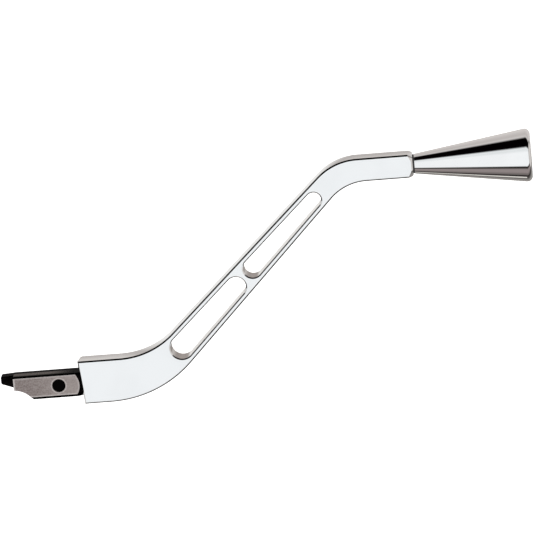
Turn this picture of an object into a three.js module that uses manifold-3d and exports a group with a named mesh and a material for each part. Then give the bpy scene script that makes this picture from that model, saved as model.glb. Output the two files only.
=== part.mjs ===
// Column shift lever: a cranked, slotted aluminium arm that joins a steel pivot block to a conical knob.
//
// Frame, in millimetres: the origin is on the pivot axis at mid-depth, +X runs along both straight ends
// toward the knob, +Y is the pivot axis, and +Z points to the side that the arm's crank rises to.
import * as THREE from 'three';
import { mergeVertices } from 'three/addons/utils/BufferGeometryUtils.js';
import Module from 'manifold-3d';

const wasm = await Module();
wasm.setup();

// ---------------------------------------------------------------- driving dimensions

const BAR = 12.7; // half-inch stock: the arm's and the block's depth
const HALF = BAR / 2;
const FIT = 0.1; // radial room round a thread or a screw
const JOINT_GAP = 0.05; // room between faces that are clamped together

// arm, seen along +Y: two level ends and a tapered beam that climbs between them
const ARM_LOW_TOP = 12.13;
const ARM_LOW_BOTTOM = -11.1;
const ARM_START_TOP = 10.72; // the arm's inner end leans, so its top starts nearer the pivot
const ARM_START_BOTTOM = 12.75;
const ARM_START_SKEW = 0.105; // and its far side starts farther out, by this share of the depth
const ARM_END = 194.45;
const ARM_END_HALF = 6.18;
const KNOB_AXIS_Z = 102.6;
const BEAM_START = new THREE.Vector2(66.42, 15.55); // on the beam's centre line, at the first slot's end
const BEAM_ANGLE = THREE.MathUtils.degToRad(44.18);
const BEAM_LENGTH = 104.8; // between the centres of the slots' outermost ends
const BEAM_HALF_START = 8.88;
const BEAM_HALF_END = 6.76;
const BEND_LOW_INSIDE = 42;
const BEND_LOW_OUTSIDE = 61.4;
const BEND_HIGH_OUTSIDE = 31.2;
const BEND_HIGH_INSIDE = 26.2;
const ARM_EDGE = 0.85; // a 45 degree chamfer all round both faces
const ARM_CORNER_CUT = 1.6; // on the inner end's far upright edge
const RAIL = 2.7; // what stays beside a slot
const LOW_SLOT = [0, 43.2]; // centres of a slot's two ends, along the beam
const HIGH_SLOT = [56.6, BEAM_LENGTH];
const END_FACE_RADIUS = 5.9; // where the outer end's turned 45 degree chamfer stops

// pivot block
const BLOCK_START = -23.85;
const BLOCK_END = 14.2; // before its end is cut to lean with the arm's
const BLOCK_TOP = 6.15;
const BLOCK_BOTTOM = -6.8;
const BLOCK_EDGE_TOP = 0.9;
const BLOCK_EDGE_BOTTOM = 1.6;
const SHOULDER_RADIUS = 6.57; // at the block's end
const SHOULDER_RUN = 2.6; // length of the shoulder's cone for each unit of radius
const BORE_RADIUS = 3.48; // cross bore
const PIN_CLEARANCE = 0.05;
const PIN_RECESS = 0.35;
const RELIEF_RADIUS = 12.6;
const RELIEF_CENTRE = new THREE.Vector2(-24.6, -13.6);
const NOSE_TIP = -30.8;
const NOSE_TIP_TOP = 5.55;
const NOSE_TIP_BOTTOM = 1.7;
const NOSE_ROOT_TOP = 6;
const NOSE_ROOT_BOTTOM = -1.25;
const NOSE_NEAR = -1; // the nose is thinner than the block, and flush with its far face
const NOSE_EDGE = 0.4;
const NOSE_OVERLAP = 1; // how far the nose's solid runs into the block's
const SHANK_RADIUS = 4.76; // 3/8 inch thread, major diameter
const SHANK_END = 34;

// screws that lock the shank, in the arm's underside
const LOCK_SCREWS = { shank_lock_screw_inner: 18.5, shank_lock_screw_outer: 27.5 };
const LOCK_RADIUS = 2.4;
const LOCK_RECESS = 0.6;
const LOCK_SOCKET_RADIUS = 1.39; // to the hexagon's corners, so 2.4 across its flats
const LOCK_SOCKET_DEPTH = 2.5;

// knob, its stud and the ring behind it
const STUD_RADIUS = 3.97; // 5/16 inch thread, major diameter
const STUD_START = 180.5;
const STUD_END = 211;
const STUD_HOLE_ROOM = 1.5; // left past the stud's ends in both blind holes
const RING_THICKNESS = 0.55;
const RING_RADIUS = 5.05;
const KNOB_START = ARM_END + RING_THICKNESS + 2 * JOINT_GAP;
const KNOB_END = 256;
const KNOB_SMALL_RADIUS = 5.18;
const KNOB_SLOPE = 0.149;
const KNOB_RIM = 2.8;

const SEGMENTS = 48; // round a turned piece
const BEND_SEGMENTS = 20;
const PAST = 5; // how far a cutter runs past what it cuts

// ---------------------------------------------------------------- solids and booleans

function solid(geometry) {
  const bare = geometry.clone();
  bare.deleteAttribute('normal');
  bare.deleteAttribute('uv');
  const merged = mergeVertices(bare, 1e-4);
  const index = merged.index.array;
  const triangles = [];
  for (let i = 0; i < index.length; i += 3) {
    const [a, b, c] = index.subarray(i, i + 3);
    if (a !== b && b !== c && c !== a) triangles.push(a, b, c);
  }
  const mesh = new wasm.Mesh({
    numProp: 3,
    vertProperties: new Float32Array(merged.attributes.position.array),
    triVerts: new Uint32Array(triangles),
  });
  return new wasm.Manifold(mesh);
}

function geometryOf(body) {
  const mesh = body.getMesh();
  const geometry = new THREE.BufferGeometry();
  geometry.setAttribute('position', new THREE.BufferAttribute(mesh.vertProperties, 3));
  geometry.setIndex(new THREE.BufferAttribute(mesh.triVerts, 1));
  geometry.computeVertexNormals();
  return geometry;
}

// A shape drawn in X and Z, extruded along Y from near to far, with its edges broken by edge.
function plate(shape, near, far, edge = 0) {
  const geometry = new THREE.ExtrudeGeometry(shape, {
    depth: far - near - 2 * edge,
    curveSegments: BEND_SEGMENTS,
    bevelEnabled: edge > 0,
    bevelThickness: edge,
    bevelSize: edge,
    bevelOffset: -edge,
    bevelSegments: 1,
  });
  geometry.rotateX(Math.PI / 2);
  return geometry.translate(0, far - edge, 0);
}

// A profile of [radius, distance] points, turned about an axis that runs along +Y.
function turned(profile) {
  return new THREE.LatheGeometry(profile.map(([r, d]) => new THREE.Vector2(r, d)), SEGMENTS);
}

function turnedAlongX(profile, z = 0) {
  return turned(profile).rotateZ(-Math.PI / 2).translate(0, 0, z);
}

function turnedAlongZ(profile, x) {
  return turned(profile).rotateX(Math.PI / 2).translate(x, 0, 0);
}

// A plain rod's profile, with both ends broken by edge.
function rod(radius, start, end, edge = 0) {
  return [
    [0, start],
    [radius - edge, start],
    [radius, start + edge],
    [radius, end - edge],
    [radius - edge, end],
    [0, end],
  ].filter(([r, d], i, all) => i === 0 || r !== all[i - 1][0] || d !== all[i - 1][1]);
}

// ---------------------------------------------------------------- arm

function polar(angle, length) {
  return new THREE.Vector2(Math.cos(angle) * length, Math.sin(angle) * length);
}

function alongBeam(distance) {
  return polar(BEAM_ANGLE, distance).add(BEAM_START);
}

function beamHalf(distance) {
  return THREE.MathUtils.lerp(BEAM_HALF_START, BEAM_HALF_END, distance / BEAM_LENGTH);
}

// Where the beam's upper (side 1) or lower (side -1) edge reaches a height.
function beamEdgeAt(z, side) {
  const across = BEAM_ANGLE + side * Math.PI / 2;
  const a = alongBeam(0).add(polar(across, beamHalf(0)));
  const b = alongBeam(BEAM_LENGTH).add(polar(across, beamHalf(BEAM_LENGTH)));
  return a.lerp(b, (z - a.y) / (b.y - a.y));
}

// An outline through corners of [point, radius], with an arc at each corner that has a radius.
function filletedShape(corners) {
  const shape = new THREE.Shape();
  corners.forEach(([corner, radius], i) => {
    const toBefore = corners.at(i - 1)[0].clone().sub(corner).normalize();
    const toAfter = corners[(i + 1) % corners.length][0].clone().sub(corner).normalize();
    const half = Math.acos(toBefore.dot(toAfter)) / 2;
    const reach = radius / Math.tan(half);
    const start = corner.clone().addScaledVector(toBefore, reach);
    const end = corner.clone().addScaledVector(toAfter, reach);
    const inward = toBefore.clone().add(toAfter).normalize();
    const centre = corner.clone().addScaledVector(inward, radius / Math.sin(half));
    if (i === 0) shape.moveTo(start.x, start.y);
    else shape.lineTo(start.x, start.y);
    if (radius === 0) return;
    const from = start.sub(centre).angle();
    const to = end.sub(centre).angle();
    shape.absarc(centre.x, centre.y, radius, from, to, toBefore.cross(toAfter) > 0);
  });
  return shape;
}

function armOutline() {
  const high = KNOB_AXIS_Z + ARM_END_HALF;
  const low = KNOB_AXIS_Z - ARM_END_HALF;
  return filletedShape([
    [new THREE.Vector2(ARM_START_BOTTOM, ARM_LOW_BOTTOM), 0],
    [beamEdgeAt(ARM_LOW_BOTTOM, -1), BEND_LOW_OUTSIDE],
    [beamEdgeAt(low, -1), BEND_HIGH_INSIDE],
    [new THREE.Vector2(ARM_END, low), 0],
    [new THREE.Vector2(ARM_END, high), 0],
    [beamEdgeAt(high, 1), BEND_HIGH_OUTSIDE],
    [beamEdgeAt(ARM_LOW_TOP, 1), BEND_LOW_INSIDE],
    [new THREE.Vector2(ARM_START_TOP, ARM_LOW_TOP), 0],
  ]);
}

// A slot with round ends whose sides stay RAIL away from the beam's tapering edges.
function slotShape([start, end]) {
  const a = alongBeam(start);
  const b = alongBeam(end);
  const radiusA = beamHalf(start) - RAIL;
  const radiusB = beamHalf(end) - RAIL;
  const spread = Math.acos((radiusA - radiusB) / (end - start));
  const shape = new THREE.Shape();
  shape.absarc(b.x, b.y, radiusB, BEAM_ANGLE - spread, BEAM_ANGLE + spread, false);
  shape.absarc(a.x, a.y, radiusA, BEAM_ANGLE + spread, BEAM_ANGLE - spread, false);
  return shape;
}

// What trims the arm's inner end: the normal of a plane that leans as the end does, and its offset. Its
// far side is skew farther from the pivot for each unit of depth, and it meets the end's line at depth y.
function innerEndPlane(y, skew) {
  const height = ARM_LOW_TOP - ARM_LOW_BOTTOM;
  const lean = (ARM_START_BOTTOM - ARM_START_TOP) / height;
  const onSkew = ARM_START_SKEW * (y + HALF);
  const start = new THREE.Vector3(ARM_START_TOP + onSkew, y, ARM_LOW_TOP);
  const normal = new THREE.Vector3(1, -skew, lean).normalize();
  return [normal.toArray(), normal.dot(start)];
}

function makeArm() {
  let arm = solid(plate(armOutline(), -HALF, HALF, ARM_EDGE));
  for (const slot of [LOW_SLOT, HIGH_SLOT]) {
    arm = arm.subtract(solid(plate(slotShape(slot), -HALF - PAST, HALF + PAST)));
  }

  const turning = [
    [END_FACE_RADIUS, ARM_END],
    [END_FACE_RADIUS + 2 * PAST, ARM_END - 2 * PAST],
    [END_FACE_RADIUS + 2 * PAST, ARM_END + PAST],
    [END_FACE_RADIUS, ARM_END + PAST],
    [END_FACE_RADIUS, ARM_END],
  ];
  arm = arm.subtract(solid(turnedAlongX(turning, KNOB_AXIS_Z)));

  arm = arm.trimByPlane(...innerEndPlane(-HALF, ARM_START_SKEW));
  arm = arm.trimByPlane(...innerEndPlane(HALF - ARM_CORNER_CUT, 1));

  const shankHole = rod(SHANK_RADIUS + FIT, ARM_START_TOP - PAST, SHANK_END + STUD_HOLE_ROOM);
  arm = arm.subtract(solid(turnedAlongX(shankHole)));
  const studHole = rod(STUD_RADIUS + FIT, STUD_START - STUD_HOLE_ROOM, ARM_END + PAST);
  arm = arm.subtract(solid(turnedAlongX(studHole, KNOB_AXIS_Z)));
  for (const x of Object.values(LOCK_SCREWS)) {
    arm = arm.subtract(solid(turnedAlongZ(rod(LOCK_RADIUS + FIT, ARM_LOW_BOTTOM - PAST, 0), x)));
  }
  return geometryOf(arm);
}

// ---------------------------------------------------------------- pivot block, its pin and its screws

function blockBar() {
  const top = HALF - BLOCK_EDGE_TOP;
  const bottom = HALF - BLOCK_EDGE_BOTTOM;
  const section = new THREE.Shape();
  section.moveTo(-bottom, BLOCK_BOTTOM);
  section.lineTo(bottom, BLOCK_BOTTOM);
  section.lineTo(HALF, BLOCK_BOTTOM + BLOCK_EDGE_BOTTOM);
  section.lineTo(HALF, BLOCK_TOP - BLOCK_EDGE_TOP);
  section.lineTo(top, BLOCK_TOP);
  section.lineTo(-top, BLOCK_TOP);
  section.lineTo(-HALF, BLOCK_TOP - BLOCK_EDGE_TOP);
  section.lineTo(-HALF, BLOCK_BOTTOM + BLOCK_EDGE_BOTTOM);
  const length = BLOCK_END - BLOCK_START;
  const bar = new THREE.ExtrudeGeometry(section, { depth: length, bevelEnabled: false });
  const yzAlongX = new THREE.Matrix4().makeBasis(
    new THREE.Vector3(0, 1, 0),
    new THREE.Vector3(0, 0, 1),
    new THREE.Vector3(1, 0, 0),
  );
  return bar.applyMatrix4(yzAlongX).translate(BLOCK_START, 0, 0);
}

function noseShape() {
  const root = BLOCK_START + NOSE_OVERLAP;
  const shape = new THREE.Shape();
  shape.moveTo(NOSE_TIP, NOSE_TIP_BOTTOM);
  shape.lineTo(root, NOSE_ROOT_BOTTOM);
  shape.lineTo(root, NOSE_ROOT_TOP);
  shape.lineTo(NOSE_TIP, NOSE_TIP_TOP);
  return shape;
}

function makePivotBlock() {
  const wide = 0.8 * BAR; // more than any corner of the bar
  const shoulderEnvelope = [
    [0, BLOCK_START - PAST],
    [wide, BLOCK_START - PAST],
    [wide, BLOCK_END - SHOULDER_RUN * (wide - SHOULDER_RADIUS)],
    [SHOULDER_RADIUS, BLOCK_END],
    [0, BLOCK_END],
  ];
  const shank = rod(SHANK_RADIUS, 0, SHANK_END, 0.8);
  const relief = new THREE.CylinderGeometry(RELIEF_RADIUS, RELIEF_RADIUS, 2 * BAR, 2 * SEGMENTS);
  relief.translate(RELIEF_CENTRE.x, 0, RELIEF_CENTRE.y);
  const nose = plate(noseShape(), NOSE_NEAR, HALF, NOSE_EDGE);
  const bore = turned(rod(BORE_RADIUS, -HALF - PAST, HALF + PAST));
  const [endNormal, endDistance] = innerEndPlane(-HALF, ARM_START_SKEW);
  const towardBlock = endNormal.map((n) => -n);
  const block = solid(blockBar())
    .intersect(solid(turnedAlongX(shoulderEnvelope)))
    .trimByPlane(towardBlock, JOINT_GAP - endDistance)
    .add(solid(turnedAlongX(shank)))
    .subtract(solid(relief))
    .add(solid(nose))
    .subtract(solid(bore));
  return geometryOf(block);
}

function makePivotPin() {
  const end = HALF - PIN_RECESS;
  return turned(rod(BORE_RADIUS - PIN_CLEARANCE, -end, end, 0.4));
}

function makeLockScrew(x) {
  const start = ARM_LOW_BOTTOM + LOCK_RECESS;
  const end = -SHANK_RADIUS - JOINT_GAP;
  const radius = LOCK_SOCKET_RADIUS;
  const socket = new THREE.CylinderGeometry(radius, radius, 2 * LOCK_SOCKET_DEPTH, 6);
  socket.rotateX(Math.PI / 2).translate(x, 0, start);
  const screw = solid(turnedAlongZ(rod(LOCK_RADIUS, start, end, 0.4), x));
  return geometryOf(screw.subtract(solid(socket)));
}

// ---------------------------------------------------------------- knob, its stud and its ring

function makeStud() {
  return turnedAlongX(rod(STUD_RADIUS, STUD_START, STUD_END, 0.8), KNOB_AXIS_Z);
}

function makeRing() {
  const start = ARM_END + JOINT_GAP;
  const end = start + RING_THICKNESS;
  const inner = STUD_RADIUS + FIT;
  const section = [
    [inner, start],
    [RING_RADIUS, start],
    [RING_RADIUS, end],
    [inner, end],
    [inner, start],
  ];
  return turnedAlongX(section, KNOB_AXIS_Z);
}

// The rim is an arc from the cone's side to the flat end, tangent to both.
function knobRim() {
  const lean = Math.atan(KNOB_SLOPE);
  const centreX = KNOB_END - KNOB_RIM;
  const coneRadius = KNOB_SMALL_RADIUS + KNOB_SLOPE * (centreX - KNOB_START);
  const centreRadius = coneRadius - KNOB_RIM / Math.cos(lean);
  const steps = 6;
  return Array.from({ length: steps + 1 }, (_, i) => {
    const angle = THREE.MathUtils.lerp(Math.PI / 2 + lean, 0, i / steps);
    return [centreRadius + KNOB_RIM * Math.sin(angle), centreX + KNOB_RIM * Math.cos(angle)];
  });
}

function makeKnob() {
  const inner = STUD_RADIUS + FIT;
  const holeEnd = STUD_END + STUD_HOLE_ROOM;
  return turnedAlongX([
    [0, holeEnd],
    [inner, holeEnd],
    [inner, KNOB_START],
    [KNOB_SMALL_RADIUS, KNOB_START],
    ...knobRim(),
    [0, KNOB_END],
  ], KNOB_AXIS_Z);
}

// ---------------------------------------------------------------- assembly

const POLISHED_ALUMINIUM = { color: 0xe9ebee, roughness: 0.08, metalness: 1 };
const BLACKENED_STEEL = { color: 0x17161a, roughness: 0.35, metalness: 0.8 };
const CHROME = { color: 0xf2f3f5, roughness: 0.05, metalness: 1 };
const PLATED_STEEL = { color: 0x9a9a9c, roughness: 0.35, metalness: 1 };
const BLACK_RUBBER = { color: 0x0f0f10, roughness: 0.8, metalness: 0 };

function piece(name, geometry, look) {
  const mesh = new THREE.Mesh(geometry, new THREE.MeshStandardMaterial(look));
  mesh.name = name;
  return mesh;
}

const shiftLever = new THREE.Group();
shiftLever.add(
  piece('pivot_pin', makePivotPin(), BLACKENED_STEEL),
  piece('pivot_block', makePivotBlock(), BLACKENED_STEEL),
  piece('lever_arm', makeArm(), POLISHED_ALUMINIUM),
  ...Object.entries(LOCK_SCREWS).map(([name, x]) => piece(name, makeLockScrew(x), BLACKENED_STEEL)),
  piece('knob_stud', makeStud(), PLATED_STEEL),
  piece('knob_ring', makeRing(), BLACK_RUBBER),
  piece('knob', makeKnob(), CHROME),
);

export default shiftLever;
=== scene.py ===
"""Looks of the column shift lever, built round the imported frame.

Shapes are worked out in millimetres in the part's own frame: the origin is on the pivot axis, +X runs
toward the knob, +Y along the pivot axis and +Z up. They become metres when a mesh is made.
"""
import math

import bmesh
import bpy
from mathutils import Matrix, Vector


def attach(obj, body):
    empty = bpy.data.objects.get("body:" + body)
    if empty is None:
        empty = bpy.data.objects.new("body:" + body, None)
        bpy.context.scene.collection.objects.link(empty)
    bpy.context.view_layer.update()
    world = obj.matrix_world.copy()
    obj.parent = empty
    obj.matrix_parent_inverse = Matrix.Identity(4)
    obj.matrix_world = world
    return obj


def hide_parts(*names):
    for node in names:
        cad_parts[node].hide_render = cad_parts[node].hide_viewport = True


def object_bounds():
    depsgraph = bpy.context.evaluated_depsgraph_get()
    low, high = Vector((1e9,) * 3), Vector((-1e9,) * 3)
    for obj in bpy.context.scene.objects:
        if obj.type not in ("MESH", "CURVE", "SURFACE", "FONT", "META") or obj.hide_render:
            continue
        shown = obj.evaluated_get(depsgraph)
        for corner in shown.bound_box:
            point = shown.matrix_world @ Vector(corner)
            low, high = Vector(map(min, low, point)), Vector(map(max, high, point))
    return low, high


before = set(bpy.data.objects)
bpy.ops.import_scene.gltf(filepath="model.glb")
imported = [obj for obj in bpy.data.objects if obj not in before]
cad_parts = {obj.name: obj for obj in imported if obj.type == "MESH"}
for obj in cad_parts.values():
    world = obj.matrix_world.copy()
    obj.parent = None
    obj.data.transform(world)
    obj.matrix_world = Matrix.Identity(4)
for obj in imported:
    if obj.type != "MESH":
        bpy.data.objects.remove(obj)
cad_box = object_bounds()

MM = 0.001

# ---------------------------------------------------------------- dimensions

# As in the CAD source, and a few with a comment that only the looks have

HALF = 6.35
FIT = 0.1
JOINT_GAP = 0.05

ARM_LOW_TOP = 12.13
ARM_LOW_BOTTOM = -11.1
ARM_START_TOP = 10.72
ARM_START_BOTTOM = 12.75
ARM_START_SKEW = 0.105
ARM_END = 194.45
ARM_END_HALF = 6.18
KNOB_AXIS_Z = 102.6
BEAM_START = Vector((66.42, 15.55))
BEAM_ANGLE = math.radians(44.18)
BEAM_LENGTH = 104.8
BEAM_HALF_START = 8.88
BEAM_HALF_END = 6.76
BEND_LOW_INSIDE = 42
BEND_LOW_OUTSIDE = 61.4
BEND_HIGH_OUTSIDE = 31.2
BEND_HIGH_INSIDE = 26.2
ARM_EDGE = 0.85
ARM_CORNER_CUT = 1.6
ARM_START_EDGE = 1.0  # a shallow chamfer on the near face, this long
ARM_START_EDGE_SKEW = -2.75  # how far that chamfer's plane leans from the arm's end
ARM_CROWN = 0.08  # how much lower the arm's top and bottom are at their edges, from polishing
RAIL = 2.7
SLOTS = ((0, 43.2), (56.6, BEAM_LENGTH))
SLOT_LIP = 0.6  # the flare at both ends of a slot's wall
END_FACE_RADIUS = 5.9

BLOCK_START = -23.85
BLOCK_TOP = 6.15
BLOCK_BOTTOM = -6.8
BLOCK_EDGE_TOP = 0.9
BLOCK_EDGE_BOTTOM = 1.6
BLOCK_END = 14.2
SHOULDER_RADIUS = 6.57
SHOULDER_RUN = 2.6
GROUND_DEPTH = 0.06  # how far the grinding went into the sides
GROUND_END = 10.9  # where it stopped, at mid height
GROUND_CURVE = 0.06  # and how fast that end curves back above and below
GROUND_MIDDLE = -0.3
GROUND_BEVEL_END = 8.5  # the bare bevel round the ground area stops here
BORE_RADIUS = 3.48
PIN_CLEARANCE = 0.05
PIN_RECESS = 0.35
RELIEF_RADIUS = 12.6
RELIEF_CENTRE = (-24.6, -13.6)
NOSE_TIP = -30.8
NOSE_TIP_TOP = 5.55
NOSE_TIP_BOTTOM = 1.7
NOSE_ROOT_TOP = 6
NOSE_ROOT_BOTTOM = -1.25
NOSE_NEAR = -1
NOSE_EDGE = 0.4
NOSE_OVERLAP = 1
SHANK_RADIUS = 4.76
SHANK_END = 34
SHANK_PITCH = 1.27  # the threads are only in the looks

LOCK_SCREWS = {"shank_lock_screw_inner": 18.5, "shank_lock_screw_outer": 27.5}
LOCK_RADIUS = 2.4
LOCK_PITCH = 0.8
LOCK_RECESS = 0.6
LOCK_SOCKET_RADIUS = 1.39
LOCK_SOCKET_DEPTH = 2.5

STUD_RADIUS = 3.97
STUD_PITCH = 1.41
STUD_START = 180.5
STUD_END = 211
STUD_HOLE_ROOM = 1.5
RING_THICKNESS = 0.55
RING_RADIUS = 5.05
KNOB_START = ARM_END + RING_THICKNESS + 2 * JOINT_GAP
KNOB_END = 256
KNOB_SMALL_RADIUS = 5.18
KNOB_SLOPE = 0.149
KNOB_RIM = 2.8

PAST = 5  # how far a cutter runs past what it cuts
ROUND = 128  # segments round a large turned surface

CAMERA_DISTANCE = 2300.0
PIXELS_PER_MM = 1.9146  # at that distance, in a picture 533 pixels wide
PICTURE_WIDTH = 533
SENSOR_WIDTH = 36
CAMERA_AIM = (113.96, 0, 54.03)
CAMERA_ANGLES = (3.2, 12.7, 5.072)  # azimuth, elevation and roll


# ---------------------------------------------------------------- meshes

def new_piece(name, points, faces, materials):
    """An object from points in millimetres."""
    mesh = bpy.data.meshes.new(name)
    mesh.from_pydata([Vector(p) * MM for p in points], [], faces)
    for material in materials:
        mesh.materials.append(material)
    piece = bpy.data.objects.new(name, mesh)
    bpy.context.scene.collection.objects.link(piece)
    tidy_normals(mesh)
    return piece


def tidy_normals(mesh):
    bm = bmesh.new()
    bm.from_mesh(mesh)
    bmesh.ops.recalc_face_normals(bm, faces=bm.faces)
    bm.to_mesh(mesh)
    bm.free()


def loft(rings, wrap=False):
    """Points and faces through closed rings of equal length: capped at both ends, or joined last to first."""
    count = len(rings[0])
    points = [p for ring in rings for p in ring]
    faces = []
    for k in range(len(rings) if wrap else len(rings) - 1):
        a, b = k * count, (k + 1) % len(rings) * count
        for i in range(count):
            j = (i + 1) % count
            faces.append((a + i, a + j, b + j, b + i))
    if not wrap:
        faces.append(tuple(range(count)))
        faces.append(tuple(range(len(points) - count, len(points))))
    return points, faces


def turned(profile, place, segments=ROUND, wrap=False):
    """A loft of circles from a profile of (radius, distance). place(r cos, r sin, distance) gives a point."""
    rings = []
    for radius, distance in profile:
        ring = []
        for i in range(segments):
            turn = math.tau * i / segments
            ring.append(place(radius * math.cos(turn), radius * math.sin(turn), distance))
        rings.append(ring)
    return loft(rings, wrap)


def along_x(z=0):
    return lambda u, v, d: (d, u, z + v)


def along_y(u, v, d):
    return (u, d, v)


def along_z(x):
    return lambda u, v, d: (x + u, v, d)


def rod(radius, start, end, edge=0.0):
    """The profile of a plain rod with both ends broken."""
    if edge == 0:
        return [(radius, start), (radius, end)]
    return [(radius - edge, start), (radius, start + edge), (radius, end - edge), (radius - edge, end)]


def threaded(radius, pitch, start, end, place, segments=48, steps=8):
    """A rod with a V thread whose depth runs out at both ends. Each row of the loft follows the helix."""
    depth = 0.54 * pitch
    rows = int((end - start) / pitch * steps)
    rings = []
    for k in range(rows + 1):
        distance = start + (end - start) * k / rows
        lead_in = min(1.0, (distance - start) / pitch, (end - distance) / pitch)
        ring = []
        for i in range(segments):
            phase = (distance / pitch - i / segments) % 1
            groove = abs(2 * phase - 1)
            r = radius - depth * (1 - lead_in * min(1.0, 1.15 * (1 - groove)))
            turn = math.tau * i / segments
            ring.append(place(r * math.cos(turn), r * math.sin(turn), distance))
        rings.append(ring)
    return loft(rings)


def combine(target, cutter, operation="DIFFERENCE"):
    """Cuts, joins or intersects target with cutter, and removes cutter. Faces keep their material numbers."""
    modifier = target.modifiers.new("combine", "BOOLEAN")
    modifier.operation = operation
    modifier.solver = "EXACT"
    modifier.object = cutter
    evaluated = target.evaluated_get(bpy.context.evaluated_depsgraph_get())
    mesh = bpy.data.meshes.new_from_object(evaluated)
    target.modifiers.clear()
    target.data = mesh
    bpy.data.objects.remove(cutter)


def cut(target, points, faces, material_number=0, operation="DIFFERENCE"):
    cutter = new_piece("cutter", points, faces, target.data.materials)
    for polygon in cutter.data.polygons:
        polygon.material_index = material_number
    combine(target, cutter, operation)


def finish_edges(piece, width, angle=25, material_number=-1, weighted=False):
    """Rounds the edges slightly, as a stone or a buff does."""
    bevel = piece.modifiers.new("edges", "BEVEL")
    bevel.width = width * MM
    bevel.segments = 2
    bevel.limit_method = "WEIGHT" if weighted else "ANGLE"
    bevel.angle_limit = math.radians(angle)
    bevel.material = material_number
    bevel.miter_outer = "MITER_ARC"


def shade(piece, angle=35):
    """Smooth shading up to an angle, with normals that keep flat faces flat."""
    piece.data.shade_smooth()
    piece.data.set_sharp_from_angle(angle=math.radians(angle))
    normals = piece.modifiers.new("normals", "WEIGHTED_NORMAL")
    normals.keep_sharp = True
    normals.weight = 90


def mount_piece(piece, body, node):
    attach(piece, body)
    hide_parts(node)


# ---------------------------------------------------------------- material nodes

class Look:
    """A Principled material with short calls to add nodes."""

    def __init__(self, name, **constants):
        self.material = bpy.data.materials.new(name)
        self.material.use_nodes = True
        self.tree = self.material.node_tree
        self.shader = self.tree.nodes["Principled BSDF"]
        for socket, value in constants.items():
            self.shader.inputs[socket.replace("_", " ")].default_value = value
        coordinates = self.node("ShaderNodeTexCoord").outputs
        self.place = coordinates["Object"]
        self.normal = coordinates["Normal"]

    def node(self, kind, settings=None, **inputs):
        made = self.tree.nodes.new(kind)
        for key, value in (settings or {}).items():
            setattr(made, key, value)
        for key, value in inputs.items():
            socket = made.inputs[int(key[1:]) if key[0] == "i" and key[1:].isdigit() else key]
            if isinstance(value, bpy.types.NodeSocket):
                self.tree.links.new(value, socket)
            else:
                socket.default_value = value
        return made

    def math(self, operation, a, b=0.0, c=0.0):
        return self.node("ShaderNodeMath", {"operation": operation}, i0=a, i1=b, i2=c).outputs[0]

    def stretched(self, scale):
        """The point in millimetres, scaled by axis."""
        scale = [s / MM for s in scale]
        node = self.node("ShaderNodeMapping", None, Vector=self.place, Scale=scale)
        return node.outputs[0]

    def noise(self, scale, detail=3.0, roughness=0.5):
        inputs = {"Vector": self.stretched(scale), "Scale": 1.0, "Detail": detail}
        return self.node("ShaderNodeTexNoise", None, Roughness=roughness, **inputs).outputs[0]

    def ranged(self, value, low, high, to_low, to_high):
        settings = {"interpolation_type": "SMOOTHSTEP"}
        node = self.node("ShaderNodeMapRange", settings, i0=value, i1=low, i2=high, i3=to_low, i4=to_high)
        return node.outputs[0]

    def mix(self, factor, a, b):
        node = self.node("ShaderNodeMix", {"data_type": "RGBA"})
        for socket, value in zip((node.inputs[0], node.inputs[6], node.inputs[7]), (factor, a, b)):
            if isinstance(value, bpy.types.NodeSocket):
                self.tree.links.new(value, socket)
            elif isinstance(value, tuple):
                socket.default_value = (*value, 1)
            else:
                socket.default_value = value
        return node.outputs[2]

    def bump(self, height, distance):
        """A height of 1 stands for distance in millimetres."""
        node = self.node("ShaderNodeBump", None, Height=height, Strength=1.0, Distance=distance * MM)
        self.drive("Normal", node.outputs[0])

    def drive(self, socket, value):
        self.tree.links.new(value, self.shader.inputs[socket])

    def axes(self):
        """x, y and z of the point, in millimetres."""
        parts = self.node("ShaderNodeSeparateXYZ", None, Vector=self.stretched((1, 1, 1))).outputs
        return parts[0], parts[1], parts[2]


def polished_metal(name, colour, grain, haze):
    """A buffed mirror: long faint buffing lines, a soft haze in patches and a little waviness."""
    look = Look(name, Metallic=1.0)
    lines = look.noise(grain, detail=2.0)
    patches = look.noise((0.06, 0.06, 0.06), detail=3.0)
    darker = tuple(0.975 * c for c in colour)
    look.drive("Base Color", look.mix(look.ranged(patches, 0.35, 0.65, 0, 1), darker, colour))
    rough = look.math("MULTIPLY_ADD", lines, haze, look.math("MULTIPLY", patches, haze))
    look.drive("Roughness", rough)
    look.bump(look.math("MULTIPLY_ADD", patches, 6.0, lines), 0.00012)
    return look.material


def milled_aluminium():
    """Slot walls and bores: an end mill's fine lines, with painted light: faces turned toward -X get a bright
    lit tone, the rest a dull shaded one.
    """
    look = Look("milled_aluminium", Metallic=1.0)
    lines = look.noise((5, 0.12, 5), detail=2.0)
    patches = look.noise((0.25, 0.25, 0.25))
    tone = look.math("MULTIPLY_ADD", lines, 0.6, look.math("MULTIPLY", patches, 0.4))
    tone = look.ranged(tone, 0.3, 0.7, 0, 1)
    dull = look.mix(tone, (0.36, 0.32, 0.305), (0.47, 0.425, 0.41))
    bright = look.mix(tone, (0.92, 0.91, 0.90), (0.98, 0.975, 0.97))
    # painted light: the tone is picked by which way a face turns, bright where it faces -X and dull elsewhere
    facing = look.node("ShaderNodeSeparateXYZ", None, Vector=look.normal).outputs[0]
    painted_lit_side = look.ranged(facing, -0.66, -0.35, 1, 0)
    look.drive("Base Color", look.mix(painted_lit_side, dull, bright))
    look.drive("Roughness", look.ranged(lines, 0.3, 0.7, 0.14, 0.24))
    look.bump(lines, 0.0006)
    return look.material


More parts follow.
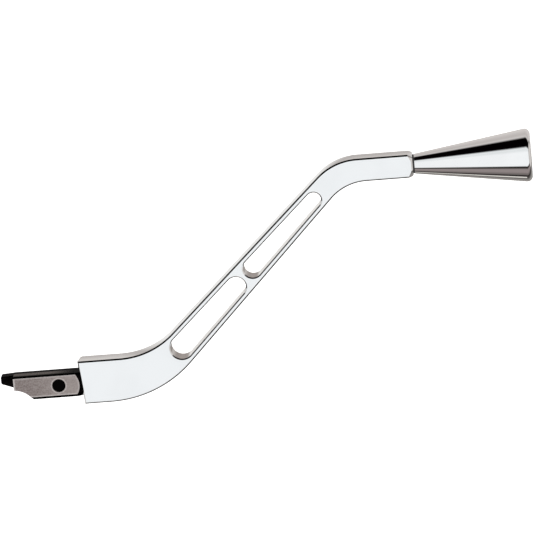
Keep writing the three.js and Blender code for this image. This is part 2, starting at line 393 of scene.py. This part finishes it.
def black_oxide(name="black_oxide", streak=False):
    """Hot black oxide on steel. On the block's top, a painted reflection: a grey streak along the top face,
    broken up by noise and fading toward the arm.
    """
    look = Look(name, Metallic=1.0, Specular_Tint=(0.4, 0.4, 0.4, 1))
    fine = look.noise((2.5, 2.5, 2.5), detail=4.0)
    blotch = look.noise((0.35, 0.35, 0.35))
    base = look.mix(look.ranged(blotch, 0.35, 0.7, 0, 1), (0.0012, 0.0009, 0.001), (0.0055, 0.0045, 0.0045))
    if streak:
        # painted reflection: a grey streak along the block's top face, standing in for the surroundings that
        # the top mirrors
        x, y, z = look.axes()
        streak_breakup = look.noise((0.15, 3, 3), detail=3.0)
        across = look.math("ABSOLUTE", look.math("ADD", y, 1.2))
        band = look.ranged(across, 1.8, 3.2, 1, 0)
        fade = look.ranged(x, -6, 9.5, 1, 0)
        on_top = look.ranged(z, 6.0, 6.12, 0, 1)
        painted_sheen = look.math("MULTIPLY", look.math("MULTIPLY", band, fade), on_top)
        painted_sheen = look.math("MULTIPLY", painted_sheen, look.ranged(streak_breakup, 0.25, 0.6, 0.65, 1))
        base = look.mix(painted_sheen, base, (0.30, 0.28, 0.27))
    look.drive("Base Color", base)
    look.drive("Roughness", look.ranged(fine, 0.3, 0.7, 0.2, 0.36))
    look.bump(fine, 0.002)
    return look.material


def ground_steel():
    """The block's side faces: fine grinding grain, darker toward the nose, and painted highlights along their
    borders and round the bore.
    """
    look = Look("ground_steel", Metallic=1.0)
    x, y, z = look.axes()
    grain = look.noise((1.1, 1.1, 1.1), detail=5.0, roughness=0.75)
    lines = look.noise((0.35, 2.0, 5.0), detail=2.0)
    tone = look.math("MULTIPLY_ADD", grain, 0.7, look.math("MULTIPLY", lines, 0.3))
    tone = look.ranged(tone, 0.38, 0.62, -0.42, 0.42)
    tone = look.math("ADD", tone, look.ranged(x, -20, 9, 0.34, 0.80))
    base = look.mix(tone, (0.215, 0.175, 0.168), (0.44, 0.385, 0.365))
    # painted highlights: brighter rims round the bore and along the top, bottom and both ends of the ground
    # face
    bore = look.math("SQRT", look.math("MULTIPLY_ADD", x, x, look.math("MULTIPLY", z, z)))
    off_ring = look.math("ABSOLUTE", look.math("SUBTRACT", bore, BORE_RADIUS + 0.5))
    ring = look.ranged(off_ring, 0.1, 0.35, 0.8, 0)
    high = BLOCK_TOP - BLOCK_EDGE_TOP
    top = look.ranged(z, high - 0.9, high - 0.4, 0, 0.5)
    low = BLOCK_BOTTOM + BLOCK_EDGE_BOTTOM
    bottom = look.ranged(z, low + 0.3, low + 0.9, 0.8, 0)
    left = look.ranged(x, BLOCK_START + 0.5, BLOCK_START + 1.1, 1, 0)
    from_end = look.math("MULTIPLY_ADD", look.math("MULTIPLY", z, z), GROUND_CURVE, x)
    right = look.ranged(from_end, 9.7, 10.5, 0, 0.5)
    painted_sheen = look.math("MAXIMUM", look.math("MAXIMUM", ring, top), look.math("MAXIMUM", bottom, left))
    painted_sheen = look.math("MULTIPLY", look.math("MAXIMUM", painted_sheen, right), look.ranged(grain, 0.3, 0.6, 0.5, 1))
    look.drive("Base Color", look.mix(painted_sheen, base, (0.66, 0.61, 0.59)))
    look.drive("Roughness", look.ranged(grain, 0.3, 0.7, 0.38, 0.5))
    look.bump(tone, 0.006)
    return look.material


def bare_edge():
    """Edges where the grinding broke through the oxide."""
    look = Look("bare_steel_edge", Metallic=1.0)
    wear = look.noise((0.9, 0.9, 0.9), detail=3.0)
    share = look.ranged(wear, 0.35, 0.6, 0, 1)
    look.drive("Base Color", look.mix(share, (0.33, 0.30, 0.29), (0.72, 0.69, 0.67)))
    look.drive("Roughness", look.ranged(wear, 0.3, 0.7, 0.26, 0.4))
    look.bump(wear, 0.004)
    return look.material


def pin_black():
    """Oxidised and oily, so it stays dark even where it faces the light."""
    look = Look("oiled_black_pin", Metallic=0.0, Specular_IOR_Level=0.02)
    fine = look.noise((3, 3, 3), detail=4.0)
    look.drive("Base Color", look.mix(fine, (0.0006, 0.0005, 0.0005), (0.003, 0.0024, 0.0024)))
    look.drive("Roughness", look.ranged(fine, 0.3, 0.7, 0.5, 0.75))
    look.bump(fine, 0.006)
    return look.material


def zinc_plate():
    look = Look("zinc_plate", Metallic=1.0)
    spangle = look.noise((1.5, 1.5, 1.5), detail=3.0)
    look.drive("Base Color", look.mix(spangle, (0.46, 0.46, 0.48), (0.66, 0.66, 0.65)))
    look.drive("Roughness", look.ranged(spangle, 0.3, 0.7, 0.24, 0.42))
    look.bump(spangle, 0.003)
    return look.material


def rubber():
    look = Look("black_rubber", Specular_IOR_Level=0.3)
    fine = look.noise((6, 6, 6), detail=3.0)
    look.drive("Base Color", look.mix(fine, (0.045, 0.043, 0.042), (0.10, 0.097, 0.095)))
    look.drive("Roughness", look.ranged(fine, 0.3, 0.7, 0.55, 0.8))
    look.bump(fine, 0.01)
    return look.material


# ---------------------------------------------------------------- arm

def direction(angle):
    return Vector((math.cos(angle), math.sin(angle)))


def along_beam(distance):
    return BEAM_START + distance * direction(BEAM_ANGLE)


def beam_half(distance):
    return BEAM_HALF_START + (BEAM_HALF_END - BEAM_HALF_START) * distance / BEAM_LENGTH


def beam_edge_at(z, side):
    """Where the beam's upper (side 1) or lower (side -1) edge reaches a height."""
    across = direction(BEAM_ANGLE + side * math.pi / 2)
    a = along_beam(0) + across * beam_half(0)
    b = along_beam(BEAM_LENGTH) + across * beam_half(BEAM_LENGTH)
    return a + (b - a) * ((z - a.y) / (b.y - a.y))


def arm_corners():
    high = KNOB_AXIS_Z + ARM_END_HALF
    low = KNOB_AXIS_Z - ARM_END_HALF
    return [
        (Vector((ARM_START_BOTTOM, ARM_LOW_BOTTOM)), 0),
        (beam_edge_at(ARM_LOW_BOTTOM, -1), BEND_LOW_OUTSIDE),
        (beam_edge_at(low, -1), BEND_HIGH_INSIDE),
        (Vector((ARM_END, low)), 0),
        (Vector((ARM_END, high)), 0),
        (beam_edge_at(high, 1), BEND_HIGH_OUTSIDE),
        (beam_edge_at(ARM_LOW_TOP, 1), BEND_LOW_INSIDE),
        (Vector((ARM_START_TOP, ARM_LOW_TOP)), 0),
    ]


def cross(a, b):
    return a.x * b.y - a.y * b.x


def inset_corners(corners, inset):
    """The corners of a counter-clockwise outline, moved inside by inset, with radii to match."""
    moved = []
    for i, (corner, radius) in enumerate(corners):
        into = (corner - corners[i - 1][0]).normalized()
        out = (corners[(i + 1) % len(corners)][0] - corner).normalized()
        turn = cross(into, out)
        shift = (out - into) * inset / turn
        if radius:
            radius -= inset * math.copysign(1, turn)
        moved.append((corner + shift, radius))
    return moved


def filleted(corners, steps=48):
    """Points of an outline with an arc at each corner that has a radius."""
    points = []
    for i, (corner, radius) in enumerate(corners):
        if not radius:
            points.append(corner)
            continue
        before = (corners[i - 1][0] - corner).normalized()
        after = (corners[(i + 1) % len(corners)][0] - corner).normalized()
        half = math.acos(before.dot(after)) / 2
        centre = corner + (before + after).normalized() * radius / math.sin(half)
        start = corner + before * radius / math.tan(half) - centre
        end = corner + after * radius / math.tan(half) - centre
        sweep = math.atan2(cross(start, end), start.dot(end))
        for k in range(steps + 1):
            turn = Matrix.Rotation(sweep * k / steps, 2)
            points.append(centre + turn @ start)
    return points


def ring_at(outline, y):
    return [(p.x, y, p.y) for p in outline]


def arm_rings():
    """Chamfered at both faces, and crowned a little between them."""
    side = HALF - ARM_EDGE + ARM_CROWN
    rings = [ring_at(filleted(inset_corners(arm_corners(), ARM_EDGE)), -HALF)]
    steps = 8
    for k in range(steps + 1):
        share = 2 * k / steps - 1
        outline = filleted(inset_corners(arm_corners(), ARM_CROWN * share * share))
        rings.append(ring_at(outline, side * share))
    rings.append(ring_at(filleted(inset_corners(arm_corners(), ARM_EDGE)), HALF))
    return rings


def slot_outline(slot, grow, steps=40):
    start, end = slot
    radii = beam_half(start) - RAIL, beam_half(end) - RAIL
    spread = math.acos((radii[0] - radii[1]) / (end - start))
    arcs = (
        (along_beam(end), radii[1] + grow, BEAM_ANGLE - spread, 2 * spread),
        (along_beam(start), radii[0] + grow, BEAM_ANGLE + spread, math.tau - 2 * spread),
    )
    points = []
    for centre, radius, first, sweep in arcs:
        for k in range(steps + 1):
            points.append(centre + radius * direction(first + sweep * k / steps))
    return points


def cut_slot(arm, slot):
    """The wall is milled, and the lips at both faces are polished with the rest."""
    flare = SLOT_LIP + 1
    levels = [(flare, -HALF - 1), (0, -HALF + SLOT_LIP), (0, HALF - SLOT_LIP), (flare, HALF + 1)]
    points, faces = loft([ring_at(slot_outline(slot, grow), y) for grow, y in levels])
    cutter = new_piece("cutter", points, faces, arm.data.materials)
    for polygon in cutter.data.polygons:
        polygon.material_index = int(abs(polygon.center.y) < 1e-6)
    combine(arm, cutter)


def trim_inner_end(piece, x, y, skew, keep=1):
    """Cuts with a leaning plane through (x, y) at the arm's top. keep is 1 for the knob's side of it."""
    lean = (ARM_START_BOTTOM - ARM_START_TOP) / (ARM_LOW_TOP - ARM_LOW_BOTTOM)
    start = Vector((x, y, ARM_LOW_TOP)) * MM
    bm = bmesh.new()
    bm.from_mesh(piece.data)
    everything = bm.verts[:] + bm.edges[:] + bm.faces[:]
    normal = Vector((1, -skew, lean)) * keep
    cut_made = bmesh.ops.bisect_plane(bm, geom=everything, plane_co=start, plane_no=normal, clear_inner=True)
    rim = [e for e in cut_made["geom_cut"] if isinstance(e, bmesh.types.BMEdge)]
    bmesh.ops.contextual_create(bm, geom=rim)
    bm.to_mesh(piece.data)
    bm.free()
    tidy_normals(piece.data)


def make_arm(materials):
    points, faces = loft(arm_rings())
    arm = new_piece("lever_arm_polished", points, faces, materials)
    far = HALF - ARM_CORNER_CUT
    trim_inner_end(arm, ARM_START_TOP, -HALF, ARM_START_SKEW)
    trim_inner_end(arm, ARM_START_TOP + ARM_START_SKEW * (far + HALF), far, 1)
    trim_inner_end(arm, ARM_START_TOP + ARM_START_EDGE, -HALF, ARM_START_EDGE_SKEW)
    for slot in SLOTS:
        cut_slot(arm, slot)
    turning = [
        (END_FACE_RADIUS, ARM_END),
        (END_FACE_RADIUS + 2 * PAST, ARM_END - 2 * PAST),
        (END_FACE_RADIUS + 2 * PAST, ARM_END + PAST),
        (END_FACE_RADIUS, ARM_END + PAST),
    ]
    cut(arm, *turned(turning, along_x(KNOB_AXIS_Z), wrap=True))
    shank_hole = rod(SHANK_RADIUS + FIT, ARM_START_TOP - PAST, SHANK_END + STUD_HOLE_ROOM)
    cut(arm, *turned(shank_hole, along_x(), 64), 1)
    stud_hole = rod(STUD_RADIUS + FIT, STUD_START - STUD_HOLE_ROOM, ARM_END + PAST)
    cut(arm, *turned(stud_hole, along_x(KNOB_AXIS_Z), 64), 1)
    for x in LOCK_SCREWS.values():
        cut(arm, *turned(rod(LOCK_RADIUS + FIT, ARM_LOW_BOTTOM - PAST, 0), along_z(x), 48), 1)
    shade(arm, 30)
    return arm


# ---------------------------------------------------------------- pivot block, pin and lock screws

def block_section():
    """Half of the bar's outline in Y and Z, mirrored to the other side."""
    side = [
        (HALF - BLOCK_EDGE_BOTTOM, BLOCK_BOTTOM),
        (HALF, BLOCK_BOTTOM + BLOCK_EDGE_BOTTOM),
        (HALF, BLOCK_TOP - BLOCK_EDGE_TOP),
        (HALF - BLOCK_EDGE_TOP, BLOCK_TOP),
    ]
    return side + [(-y, z) for y, z in reversed(side)]


def nose_rings():
    """The nose tapers from its root to its tip, with its upright and level edges broken."""
    rings = []
    root = BLOCK_START + NOSE_OVERLAP
    run = root - NOSE_TIP
    edge = NOSE_EDGE
    for x, shrink in ((NOSE_TIP, NOSE_EDGE), (NOSE_TIP + NOSE_EDGE, 0), (root, 0)):
        share = (x - NOSE_TIP) / run
        top = NOSE_TIP_TOP + (NOSE_ROOT_TOP - NOSE_TIP_TOP) * share
        bottom = NOSE_TIP_BOTTOM + (NOSE_ROOT_BOTTOM - NOSE_TIP_BOTTOM) * share
        low, high = NOSE_NEAR + shrink, HALF - shrink
        rings.append([
            (x, low + edge, bottom + shrink),
            (x, high - edge, bottom + shrink),
            (x, high, bottom + shrink + edge),
            (x, high, top - shrink - edge),
            (x, high - edge, top - shrink),
            (x, low + edge, top - shrink),
            (x, low, top - shrink - edge),
            (x, low, bottom + shrink + edge),
        ])
    return rings


def ground_outline():
    """The area that the grinding wheel reached on the sides, with the curve where it stopped."""
    bottom, top = BLOCK_BOTTOM - PAST, BLOCK_TOP + PAST
    outline = [(BLOCK_START - PAST, top), (BLOCK_START - PAST, bottom)]
    steps = 40
    for k in range(steps + 1):
        z = bottom + (top - bottom) * k / steps
        outline.append((GROUND_END - GROUND_CURVE * (z - GROUND_MIDDLE) ** 2, z))
    return outline


def mark_ground_edges(block):
    """The borders of the ground sides get a bevel of their own."""
    mesh = block.data
    sides = [p for p in mesh.polygons if p.material_index == 1 and abs(p.normal.y) > 0.9]
    for polygon in mesh.polygons:
        polygon.material_index = 0
    seen = {}
    for polygon in sides:
        polygon.material_index = 1
        for key in polygon.edge_keys:
            seen[key] = seen.get(key, 0) + 1
    weights = mesh.attributes.new("bevel_weight_edge", "FLOAT", "EDGE")
    for edge in mesh.edges:
        on_cut = seen.get(tuple(edge.key)) == 1
        a, b = (mesh.vertices[v].co.x for v in edge.vertices)
        inside = (a + b) / 2 < GROUND_BEVEL_END * MM
        weights.data[edge.index].value = float(on_cut and inside)


def make_block(materials):
    section = block_section()
    bar = loft([[(x, y, z) for y, z in section] for x in (BLOCK_START, BLOCK_END)])
    block = new_piece("pivot_block_ground", *bar, materials)
    wide = 10  # more than any corner of the bar
    envelope = [
        (wide, BLOCK_START - PAST),
        (wide, BLOCK_END - SHOULDER_RUN * (wide - SHOULDER_RADIUS)),
        (SHOULDER_RADIUS, BLOCK_END),
    ]
    cut(block, *turned(envelope, along_x()), operation="INTERSECT")
    trim_inner_end(block, ARM_START_TOP - JOINT_GAP, -HALF, ARM_START_SKEW, keep=-1)
    outline = ground_outline()
    for near, far in ((-HALF - 1, -HALF + GROUND_DEPTH), (HALF - GROUND_DEPTH, HALF + 1)):
        cut(block, *loft([[(x, y, z) for x, z in outline] for y in (near, far)]), 1)
    cut(block, *threaded(SHANK_RADIUS, SHANK_PITCH, 5, SHANK_END, along_x()), operation="UNION")
    ring = [Vector(RELIEF_CENTRE) + RELIEF_RADIUS * direction(math.tau * i / 192) for i in range(192)]
    cut(block, *loft([ring_at(ring, y) for y in (-HALF - PAST, HALF + PAST)]))
    cut(block, *loft(nose_rings()), operation="UNION")
    cut(block, *turned(rod(BORE_RADIUS, -HALF - PAST, HALF + PAST), along_y, 96))
    mark_ground_edges(block)
    finish_edges(block, 0.16, weighted=True, material_number=2)
    finish_edges(block, 0.06, angle=30)
    shade(block, 30)
    return block


def make_pin(materials):
    end = HALF - PIN_RECESS
    profile = rod(BORE_RADIUS - PIN_CLEARANCE, -end, end, 0.4)
    pin = new_piece("pivot_pin_black", *turned(profile, along_y, 96), materials)
    finish_edges(pin, 0.1)
    shade(pin)
    return pin


def make_lock_screw(name, x, materials):
    start = ARM_LOW_BOTTOM + LOCK_RECESS
    end = -SHANK_RADIUS - JOINT_GAP
    screw = new_piece(name + "_hex", *threaded(LOCK_RADIUS, LOCK_PITCH, start, end, along_z(x)), materials)
    socket = rod(LOCK_SOCKET_RADIUS, start - LOCK_SOCKET_DEPTH, start + LOCK_SOCKET_DEPTH)
    cut(screw, *turned(socket, along_z(x), 6))
    shade(screw)
    return screw


# ---------------------------------------------------------------- knob, stud and ring

def make_stud(materials):
    points, faces = threaded(STUD_RADIUS, STUD_PITCH, STUD_START, STUD_END, along_x(KNOB_AXIS_Z))
    stud = new_piece("knob_stud_threaded", points, faces, materials)
    shade(stud)
    return stud


def make_ring(materials):
    """A thin rubber washer with a rounded rim."""
    start = ARM_END + JOINT_GAP
    bulge = RING_THICKNESS / 2
    inner = STUD_RADIUS + FIT
    profile = [(inner, start + RING_THICKNESS), (inner, start)]
    for k in range(9):
        turn = math.pi * k / 8
        profile.append((RING_RADIUS - bulge + bulge * math.sin(turn), start + bulge - bulge * math.cos(turn)))
    ring = new_piece("knob_ring_rubber", *turned(profile, along_x(KNOB_AXIS_Z), wrap=True), materials)
    shade(ring, 60)
    return ring


def knob_profile():
    """Blind bore, small end with a broken edge, cone, and a rim whose arc is tangent to cone and end."""
    lean = math.atan(KNOB_SLOPE)
    centre = KNOB_END - KNOB_RIM
    cone = KNOB_SMALL_RADIUS + KNOB_SLOPE * (centre - KNOB_START)
    rim_radius = cone - KNOB_RIM / math.cos(lean)
    inner = STUD_RADIUS + FIT
    edge = 0.25
    profile = [(inner, STUD_END + STUD_HOLE_ROOM), (inner, KNOB_START)]
    profile.append((KNOB_SMALL_RADIUS - edge, KNOB_START))
    profile.append((KNOB_SMALL_RADIUS + KNOB_SLOPE * edge, KNOB_START + edge))
    steps = 24
    for k in range(steps + 1):
        turn = (math.pi / 2 + lean) * (1 - k / steps)
        profile.append((rim_radius + KNOB_RIM * math.sin(turn), centre + KNOB_RIM * math.cos(turn)))
    return profile


def make_knob(materials):
    knob = new_piece("knob_polished", *turned(knob_profile(), along_x(KNOB_AXIS_Z), 192), materials)
    shade(knob, 40)
    return knob


# ---------------------------------------------------------------- studio

def linear(value):
    value /= 255
    return value / 12.92 if value <= 0.04045 else ((value + 0.055) / 1.055) ** 2.4


def tone(*rgb):
    """A colour given from 0 to 255, as a display shows it."""
    return tuple(linear(c) for c in rgb)


WHITE = tone(249, 251, 252)
BLACK = tone(3, 1, 2)

# What the mirror faces reflect, by degrees round the X axis: 0 is the front, 90 overhead, 180 behind. The
# tones began as colours read off the photograph's knob, at the angle that each row of it reflects, and
# were then changed one by one. This isn't plain studio light, and it is an open fault.
SURROUNDINGS = (
    (-180, tone(240, 239, 237)),
    (-176, tone(236, 234, 232)),
    (-173, tone(180, 176, 172)),
    (-164, tone(168, 164, 160)),
    (-130, tone(150, 147, 143)),
    (-118, tone(120, 117, 114)),
    (-110, tone(84, 81, 79)),
    (-99, tone(70, 67, 65)),
    (-96, tone(40, 38, 36)),
    (-91, tone(44, 41, 39)),
    (-86, tone(112, 106, 104)),
    (-78, tone(124, 116, 114)),
    (-71, tone(147, 137, 136)),
    (-55, tone(147, 137, 136)),
    (-50, tone(90, 84, 82)),
    (-47, tone(36, 32, 29)),
    (-42, tone(40, 36, 33)),
    (-37, WHITE),
    (22, WHITE),
    (33, tone(232, 235, 236)),
    (42, tone(236, 239, 240)),
    (50, BLACK),
    (90, BLACK),
    (100, tone(208, 204, 201)),
    (116, tone(193, 187, 184)),
    (140, tone(207, 202, 199)),
    (163, tone(220, 215, 211)),
    (170, tone(180, 174, 171)),
    (175, tone(220, 217, 214)),
    (180, tone(240, 239, 237)),
)
# and toward the two ends, by the share of -X or +X in the direction
ENDS = (
    (-1.0, tone(204, 201, 198)),
    (0.78, tone(204, 201, 198)),
    (0.80, tone(112, 109, 107)),
    (0.86, tone(112, 109, 107)),
    (0.89, tone(214, 209, 205)),
    (1.0, tone(214, 209, 205)),
)
# and how much of ENDS covers SURROUNDINGS there
ENDS_SHARE = (
    (-0.92, (1, 1, 1)),
    (-0.88, (0.12, 0.12, 0.12)),
    (-0.80, (0.05, 0.05, 0.05)),
    (-0.70, (0, 0, 0)),
    (0.80, (0, 0, 0)),
    (0.85, (1, 1, 1)),
)
STRIP = tone(232, 228, 222)  # a bright strip below the object
STRIP_DEGREES = -105.0
STRIP_HALF_WIDTH = 5.0
STRIP_X = -0.26
STRIP_HALF_X = 0.14
PATCH = (1.15, 1.15, 1.15)  # and a brighter patch in front, to the left
PATCH_DEGREES = 27.0
PATCH_X = -0.5


def make_ramp(tree, stops, low, high):
    ramp = tree.nodes.new("ShaderNodeValToRGB")
    elements = ramp.color_ramp.elements
    while len(elements) < len(stops):
        elements.new(0.5)
    for element, (at, _) in zip(elements, stops):
        element.position = (at - low) / (high - low)
    for element, (_, colour) in zip(elements, stops):
        element.color = (*colour, 1)
    return ramp


def make_world():
    """SURROUNDINGS and ENDS painted on the sky for reflections. The camera itself sees plain white."""
    world = bpy.data.worlds.new("studio")
    bpy.context.scene.world = world
    world.use_nodes = True
    tree = world.node_tree
    tree.nodes.clear()
    new, link = tree.nodes.new, tree.links.new

    def arithmetic(operation, a, b=0.0, clamp=False):
        node = new("ShaderNodeMath")
        node.operation = operation
        node.use_clamp = clamp
        for socket, value in zip(node.inputs, (a, b)):
            if isinstance(value, (int, float)):
                socket.default_value = value
            else:
                link(value, socket)
        return node.outputs[0]

    def mixed(factor, a, b):
        node = new("ShaderNodeMix")
        node.data_type = "RGBA"
        for socket, value in zip((node.inputs[0], node.inputs[6], node.inputs[7]), (factor, a, b)):
            if isinstance(value, tuple):
                socket.default_value = (*value, 1)
            else:
                link(value, socket)
        return node.outputs[2]

    split = new("ShaderNodeSeparateXYZ")
    link(new("ShaderNodeTexCoord").outputs["Generated"], split.inputs[0])
    x, y, z = split.outputs
    turn = arithmetic("DIVIDE", arithmetic("ARCTAN2", z, arithmetic("MULTIPLY", y, -1.0)), math.tau)
    round_x = make_ramp(tree, SURROUNDINGS, -180, 180)
    link(arithmetic("ADD", turn, 0.5), round_x.inputs[0])
    ends = make_ramp(tree, ENDS, -1, 1)
    share = make_ramp(tree, ENDS_SHARE, -1, 1)
    along = arithmetic("MULTIPLY_ADD", x, 0.5)
    along.node.inputs[2].default_value = 0.5
    link(along, ends.inputs[0])
    link(along, share.inputs[0])

    degrees = arithmetic("MULTIPLY", turn, 360.0)
    off_strip = arithmetic("ABSOLUTE", arithmetic("ADD", degrees, -STRIP_DEGREES))
    strip = arithmetic("SUBTRACT", STRIP_HALF_WIDTH, off_strip, clamp=True)
    off_strip = arithmetic("ABSOLUTE", arithmetic("ADD", x, -STRIP_X))
    strip = arithmetic("MULTIPLY", strip, arithmetic("LESS_THAN", off_strip, STRIP_HALF_X))
    colour = mixed(strip, round_x.outputs[0], STRIP)
    in_front = arithmetic("LESS_THAN", arithmetic("ABSOLUTE", degrees), PATCH_DEGREES)
    to_left = arithmetic("MULTIPLY", arithmetic("SUBTRACT", PATCH_X, x), 8.0, clamp=True)
    colour = mixed(arithmetic("MULTIPLY", in_front, to_left), colour, PATCH)
    colour = mixed(share.outputs[0], colour, ends.outputs[0])
    seen = mixed(new("ShaderNodeLightPath").outputs["Is Camera Ray"], colour, (1.0, 1.0, 1.0))
    background = new("ShaderNodeBackground")
    link(seen, background.inputs[0])
    link(background.outputs[0], new("ShaderNodeOutputWorld").inputs[0])


def make_floor(low_z):
    """A plain white light table, well below the part."""
    size = 30.0
    z = low_z - 0.06
    mesh = bpy.data.meshes.new("floor")
    corners = [(-size, -size, z), (size, -size, z), (size, size, z), (-size, size, z)]
    mesh.from_pydata(corners, [], [(0, 1, 2, 3)])
    floor = bpy.data.objects.new("floor", mesh)
    bpy.context.scene.collection.objects.link(floor)
    material = bpy.data.materials.new("white_floor")
    material.use_nodes = True
    shader = material.node_tree.nodes["Principled BSDF"]
    shader.inputs["Base Color"].default_value = (0.9, 0.9, 0.9, 1)
    shader.inputs["Roughness"].default_value = 0.9
    shader.inputs["Emission Color"].default_value = (1, 1, 1, 1)
    shader.inputs["Emission Strength"].default_value = 1.0
    mesh.materials.append(material)
    floor.visible_glossy = False
    floor.visible_diffuse = False


def make_light(name, location, size, watts):
    data = bpy.data.lights.new(name, "AREA")
    data.size = size
    data.energy = watts
    light = bpy.data.objects.new(name, data)
    bpy.context.scene.collection.objects.link(light)
    light.location = location
    light.rotation_mode = "QUATERNION"
    light.rotation_quaternion = Vector(location).to_track_quat("Z", "Y")
    light.visible_glossy = False
    light.visible_camera = False


def make_camera():
    azimuth, elevation, roll = map(math.radians, CAMERA_ANGLES)
    aim = Vector(CAMERA_AIM) * MM
    back = Vector((
        math.sin(azimuth) * math.cos(elevation),
        -math.cos(azimuth) * math.cos(elevation),
        math.sin(elevation),
    ))
    level = Vector((math.cos(azimuth), math.sin(azimuth), 0))
    upright = back.cross(level)
    right = math.cos(roll) * level - math.sin(roll) * upright
    up = math.sin(roll) * level + math.cos(roll) * upright
    data = bpy.data.cameras.new("camera")
    data.sensor_width = SENSOR_WIDTH
    data.lens = SENSOR_WIDTH * CAMERA_DISTANCE * PIXELS_PER_MM / PICTURE_WIDTH
    data.clip_start = 0.05
    data.clip_end = 100
    camera = bpy.data.objects.new("camera", data)
    bpy.context.scene.collection.objects.link(camera)
    turn = Matrix((right, up, back)).transposed().to_4x4()
    camera.matrix_world = Matrix.Translation(aim + back * CAMERA_DISTANCE * MM) @ turn
    bpy.context.scene.camera = camera


# ---------------------------------------------------------------- assembly

polished = polished_metal("polished_aluminium", (0.915, 0.925, 0.935), (0.02, 1.5, 1.5), 0.09)
chrome = polished_metal("polished_knob", (0.93, 0.93, 0.935), (0.8, 0.02, 0.02), 0.05)
milled = milled_aluminium()
oxide = black_oxide()
oxide_with_painted_streak = black_oxide("black_oxide_painted_streak", streak=True)
ground = ground_steel()
edge_steel = bare_edge()

mount_piece(make_arm([polished, milled]), "lever", "lever_arm")
mount_piece(make_block([oxide_with_painted_streak, ground, edge_steel]), "lever", "pivot_block")
mount_piece(make_pin([pin_black()]), "pivot", "pivot_pin")
for node, x in LOCK_SCREWS.items():
    mount_piece(make_lock_screw(node, x, [oxide]), "lever", node)
mount_piece(make_stud([zinc_plate()]), "lever", "knob_stud")
mount_piece(make_ring([rubber()]), "lever", "knob_ring")
mount_piece(make_knob([chrome]), "lever", "knob")

make_world()
make_floor(cad_box[0].z)
make_light("soft_box", (-0.5, -1.4, 1.3), 1.2, 12)
make_camera()
bpy.context.scene.view_settings.view_transform = "Standard"
